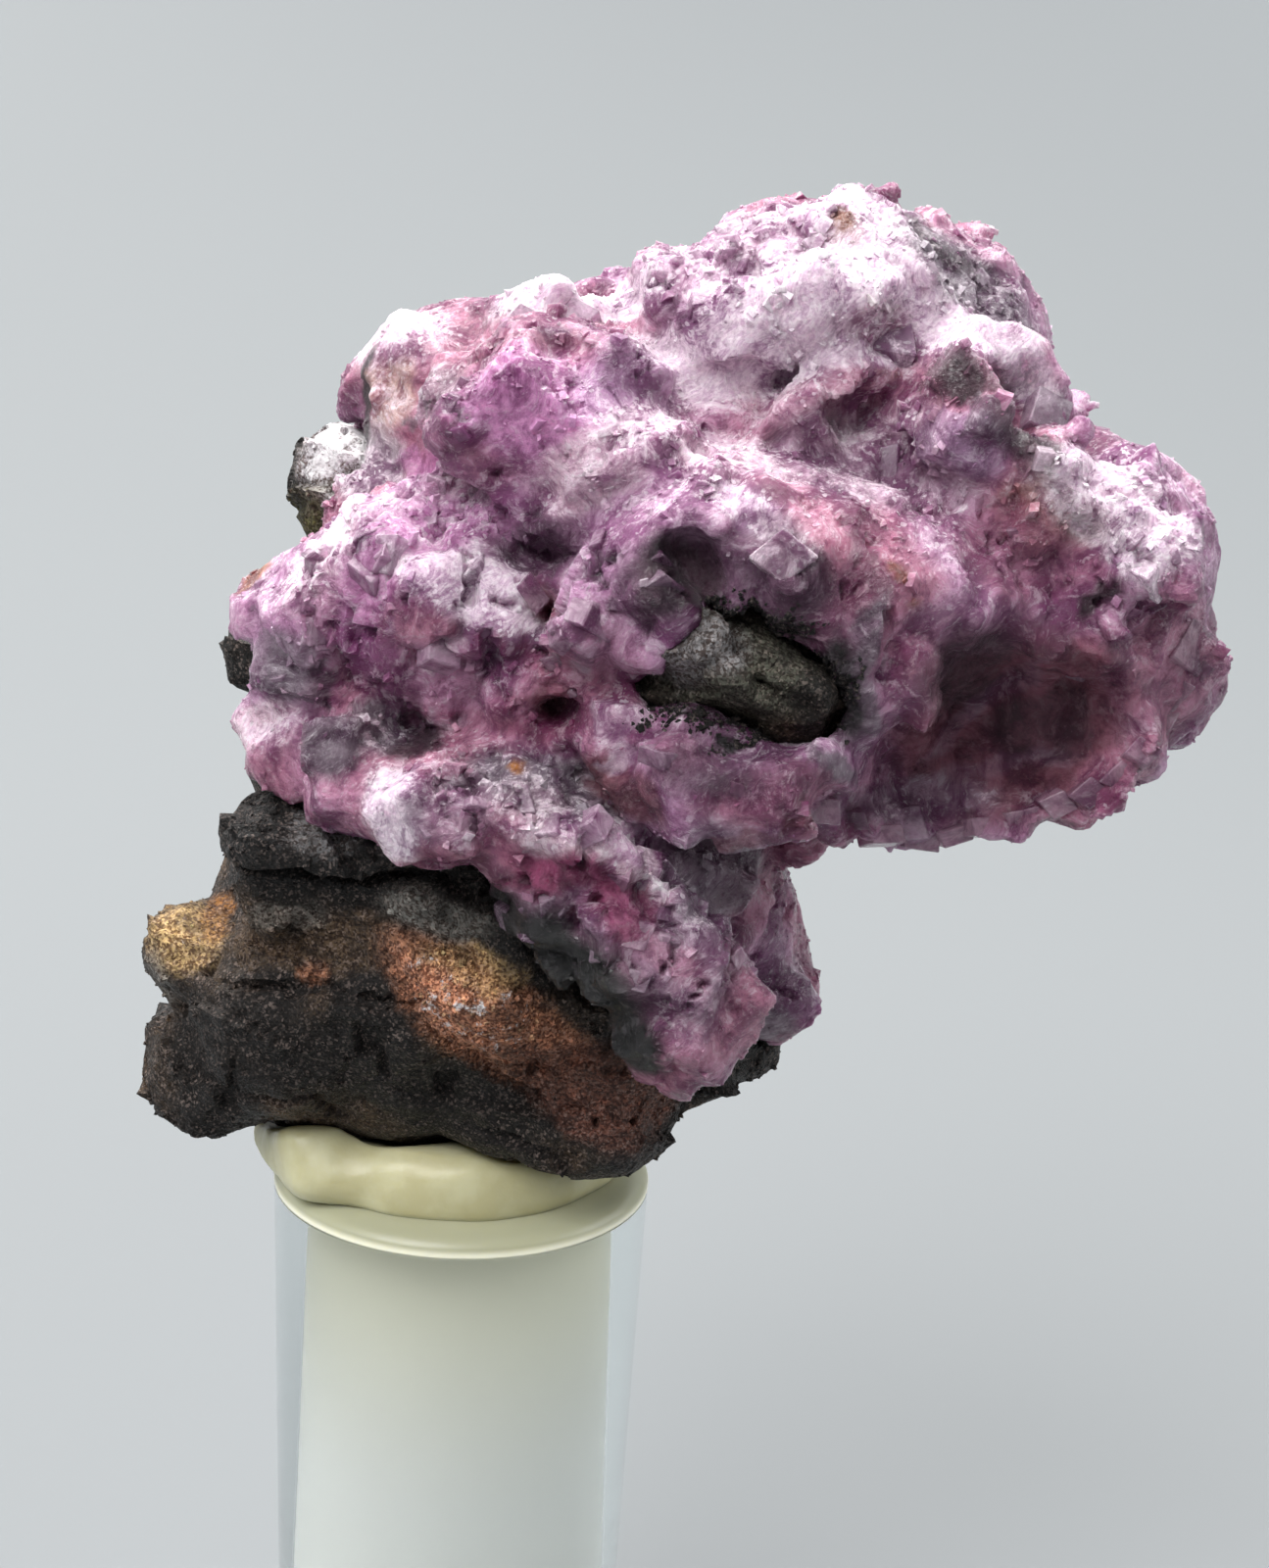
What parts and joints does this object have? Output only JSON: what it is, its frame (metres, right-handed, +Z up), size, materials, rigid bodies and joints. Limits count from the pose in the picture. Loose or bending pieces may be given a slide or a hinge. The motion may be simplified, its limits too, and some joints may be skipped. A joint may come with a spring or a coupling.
{
  "type": "cobaltoan calcite specimen",
  "caption": "Lilac-pink calcite crystals overhanging a dark rock matrix, set with cream putty on a clear round display post with a foot.",
  "frame": {"origin": "middle of the post foot's flat underside", "axes": "+Z up along the post; +X to the right and +Y to the back as the specimen is seen from its crystal-covered front"},
  "size_m": [0.042, 0.0312, 0.0727],
  "materials": {
    "calcite": "lilac to magenta-pink calcite, frosty white on its tops, glassy facets with fine growth lines, maroon where it is thick and shaded",
    "rock": "rough brown-black rock with an orange-pink granular patch, olive and rust limonite, a yellow-tan knob and grey-green stone",
    "putty": "smooth cream putty with a soft satin gloss",
    "clear_post": "clear, polished, very slightly green"
  },
  "bodies": {
    "root": {"calcite_crystals": "calcite", "matrix_rock": "rock", "mounting_putty": "putty", "display_post": "clear_post"}
  },
  "joints": []
}
